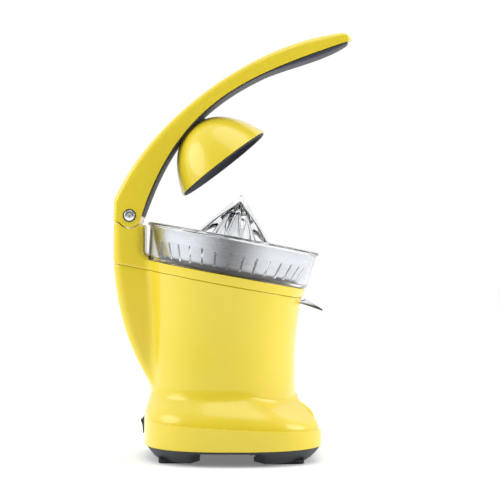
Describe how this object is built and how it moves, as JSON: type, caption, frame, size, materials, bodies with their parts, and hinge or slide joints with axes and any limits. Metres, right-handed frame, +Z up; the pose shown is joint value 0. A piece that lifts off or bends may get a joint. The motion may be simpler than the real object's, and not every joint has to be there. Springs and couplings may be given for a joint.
{
  "type": "citrus press juicer",
  "caption": "Electric citrus press with a hinged arm and dome over a clear ribbed cone, steel strainer, clear bowl and yellow drum housing.",
  "frame": {"origin": "on the surface the feet stand on, under the middle of the bounding box", "axes": "+Z up, +X from the column towards the spout, +Y to the left when looking along +X; the arm's hinge axis lies along Y"},
  "size_m": [0.2378, 0.184, 0.4285],
  "materials": {
    "yellow_shell": "gloss",
    "charcoal_soft": "satin",
    "black_plastic": "satin",
    "rubber": "matte",
    "clear_plastic": "gloss",
    "satin_steel": "satin",
    "steel": "satin",
    "chrome": "polished",
    "white_nylon": "satin",
    "copper_alloy": "satin",
    "zinc": "matte"
  },
  "bodies": {
    "housing": {"lower_housing": "yellow_shell", "upper_housing": "yellow_shell", "bottom_cover": "black_plastic", "foot_rear_left": "rubber", "foot_rear_right": "rubber", "foot_front_left": "rubber", "foot_front_right": "rubber", "bottom_screw_1": "steel", "bottom_screw_2": "steel", "bottom_screw_3": "steel", "bottom_screw_4": "steel", "switch_bezel": "black_plastic", "cord_gland": "rubber", "arm_switch": "black_plastic", "spindle_bush": "copper_alloy", "spindle_seal": "rubber", "idler_pin": "steel", "motor_can": "zinc", "stator": "copper_alloy", "gear_plate": "zinc", "plate_screw_1": "steel", "plate_screw_2": "steel", "plate_screw_3": "steel", "spout_pin": "steel"},
    "press_arm": {"arm_cover": "yellow_shell", "arm_liner": "charcoal_soft", "grip_pad": "charcoal_soft", "arm_frame": "steel", "dome_shell": "yellow_shell", "dome_liner": "charcoal_soft", "dome_mount": "black_plastic", "dome_screw": "steel", "hinge_axle": "steel", "pivot_cap_left": "chrome", "pivot_cap_right": "chrome", "pivot_ring_left": "black_plastic", "pivot_ring_right": "black_plastic", "return_spring": "steel"},
    "drive": {"spindle": "steel", "output_gear": "white_nylon", "circlip": "steel"},
    "idler": {"idler_gear": "white_nylon"},
    "motor_rotor": {"motor_shaft": "steel", "motor_pinion": "zinc", "rotor_core": "steel", "motor_fan": "black_plastic"},
    "cone": {"cone": "clear_plastic"},
    "strainer": {"strainer": "satin_steel"},
    "bowl": {"juice_bowl": "clear_plastic"},
    "spout": {"spout": "satin_steel"},
    "power_rocker": {"rocker": "black_plastic"}
  },
  "joints": [
    {"name": "arm_hinge", "type": "hinge", "parent": "housing", "child": "press_arm", "pos_m": [-0.1026, 0, 0.2435], "axis": [0, -1, 0], "range_deg": [-40, 0], "stiffness_Nm_per_rad": 0.6, "springref_deg": 63.03, "deforming": ["return_spring"]},
    {"name": "spindle_spin", "type": "hinge", "parent": "housing", "child": "drive", "pos_m": [-0.005, 0, 0.1841], "axis": [0.1822, 0, 0.9833], "continuous": true},
    {"name": "idler_spin", "type": "hinge", "parent": "housing", "child": "idler", "pos_m": [0.00716, 0.01782, 0.16151], "axis": [0.1822, 0, 0.9833], "continuous": true},
    {"name": "motor_spin", "type": "hinge", "parent": "housing", "child": "motor_rotor", "pos_m": [0.00373, 0, 0.12146], "axis": [0.1822, 0, 0.9833], "continuous": true},
    {"name": "cone_lift", "type": "slide", "parent": "drive", "child": "cone", "axis": [0.1822, 0, 0.9833], "range_m": [0, 0.05]},
    {"name": "strainer_lift", "type": "slide", "parent": "housing", "child": "strainer", "axis": [0.1822, 0, 0.9833], "range_m": [0, 0.025]},
    {"name": "bowl_lift", "type": "slide", "parent": "housing", "child": "bowl", "axis": [0.1822, 0, 0.9833], "range_m": [0, 0.014]},
    {"name": "spout_tilt", "type": "hinge", "parent": "housing", "child": "spout", "pos_m": [0.05672, 0, 0.15496], "axis": [0, -1, 0], "range_deg": [0, 8]},
    {"name": "power_switch", "type": "hinge", "parent": "housing", "child": "power_rocker", "pos_m": [-0.0869, 0, 0.032], "axis": [0, 1, 0], "range_deg": [0, 16]}
  ],
  "couplings": [
    {"joint": "idler_spin", "follows": "spindle_spin", "ratio": -2.8},
    {"joint": "motor_spin", "follows": "spindle_spin", "ratio": 7.28},
    {"joint": "strainer_lift", "follows": "cone_lift", "ratio": 0.5},
    {"joint": "bowl_lift", "follows": "cone_lift", "ratio": 0.28}
  ]
}
